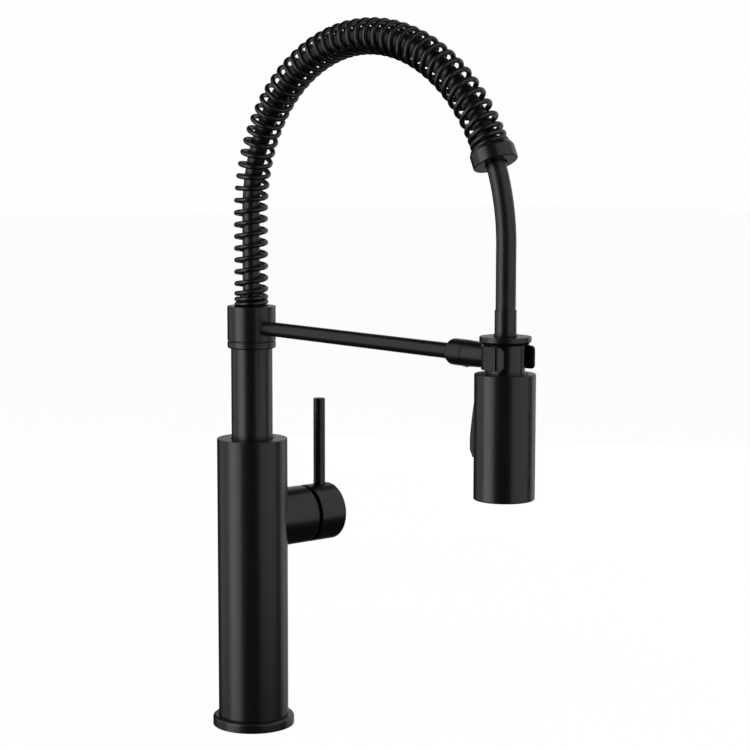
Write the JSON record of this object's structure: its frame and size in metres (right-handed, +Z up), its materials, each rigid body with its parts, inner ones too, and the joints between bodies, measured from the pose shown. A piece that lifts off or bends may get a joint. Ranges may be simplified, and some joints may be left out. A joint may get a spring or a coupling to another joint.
{
  "type": "faucet",
  "caption": "Deck-mounted single-lever kitchen faucet with a coil-spring arch, a docking arm and a pull-down spray head, in matte black.",
  "frame": {"origin": "centre of the threaded mounting socket at deck level, on the body's axis", "axes": "+Z up along the body's axis; the spout and docking arm point along -Y at rest; the lever side is +X"},
  "size_m": [0.1083, 0.3343, 0.5407],
  "materials": {
    "matte_black": "satin matte black coating",
    "hose_jacket": "smooth satin black jacket",
    "seal_rubber": "matte moulded rubber",
    "brass": "machined",
    "stainless_steel": "machined",
    "ceramic": "lapped",
    "white_acetal": "moulded",
    "black_plastic": "satin moulded"
  },
  "bodies": {
    "base": {"base_flange": "matte_black", "deck_gasket": "seal_rubber", "mounting_ring": "brass", "mixer_body": "matte_black", "valve_housing": "matte_black", "mixing_block": "brass", "bearing_carrier": "brass", "lower_glide_ring": "white_acetal", "upper_glide_ring": "white_acetal", "riser_o_rings": "seal_rubber", "cartridge_body": "white_acetal", "cartridge_seals": "seal_rubber", "fixed_ceramic_disc": "ceramic", "cartridge_nut": "brass", "valve_bonnet": "matte_black"},
    "temperature_rotor": {"moving_ceramic_disc": "ceramic", "cartridge_carrier": "white_acetal", "stem_pin": "stainless_steel"},
    "handle": {"lever_stem": "stainless_steel", "handle_hub": "matte_black", "lever_rod": "matte_black", "hub_grub_screw": "stainless_steel"},
    "spout": {"riser_tube": "matte_black", "riser_retaining_ring": "stainless_steel", "hose_inlet_nipple": "brass", "nipple_o_rings": "seal_rubber", "inlet_ferrule": "stainless_steel", "stop_ring": "matte_black", "collar": "matte_black", "collar_grub_screws": "stainless_steel", "spring_seat": "matte_black", "coil_spring": "matte_black", "upper_hose": "hose_jacket", "spring_cap": "matte_black", "docking_arm": "matte_black", "arm_sleeve": "matte_black", "sleeve_grub_screw": "stainless_steel", "dock_clip": "matte_black", "clip_liner": "black_plastic", "lower_hose": "hose_jacket"},
    "hose_end": {"hose_ferrule": "matte_black", "swivel_stem": "brass", "stem_o_rings": "seal_rubber", "swivel_retainer": "stainless_steel"},
    "spray_head": {"head_cap": "matte_black", "head_shell": "matte_black", "spray_waterway": "black_plastic", "trigger_pin": "stainless_steel", "trigger_return_spring": "stainless_steel", "flow_straightener": "white_acetal", "spray_face": "black_plastic", "face_ring": "matte_black"},
    "trigger": {"spray_trigger": "black_plastic"},
    "plunger": {"diverter_plunger": "white_acetal"}
  },
  "joints": [
    {"name": "spout_swivel", "type": "hinge", "parent": "base", "child": "spout", "pos_m": [0, 0, 0.21], "axis": [0, 0, 1], "continuous": true},
    {"name": "handle_temperature", "type": "hinge", "parent": "base", "child": "temperature_rotor", "pos_m": [0.031, 0, 0.1608], "axis": [1, 0, 0], "range_deg": [-45, 45]},
    {"name": "handle_flow", "type": "hinge", "parent": "temperature_rotor", "child": "handle", "pos_m": [0.031, 0, 0.1608], "axis": [0, 1, 0], "range_deg": [0, 10]},
    {"name": "head_undock", "type": "slide", "parent": "spout", "child": "hose_end", "axis": [0, -1, 0], "range_m": [0, 0.06], "deforming": ["lower_hose"]},
    {"name": "head_swivel", "type": "hinge", "parent": "hose_end", "child": "spray_head", "pos_m": [0, -0.282, 0.3], "axis": [0, 0, 1], "continuous": true},
    {"name": "trigger_press", "type": "hinge", "parent": "spray_head", "child": "trigger", "pos_m": [0, -0.2684, 0.2774], "axis": [-1, 0, 0], "range_deg": [0, 6.5], "stiffness_Nm_per_rad": 0.6, "springref_deg": -2.86},
    {"name": "plunger_slide", "type": "slide", "parent": "spray_head", "child": "plunger", "axis": [0, -1, 0], "range_m": [0, 0.003], "deforming": ["trigger_return_spring"]}
  ],
  "couplings": [
    {"joint": "plunger_slide", "follows": "trigger_press", "m_per_rad": 0.026}
  ]
}
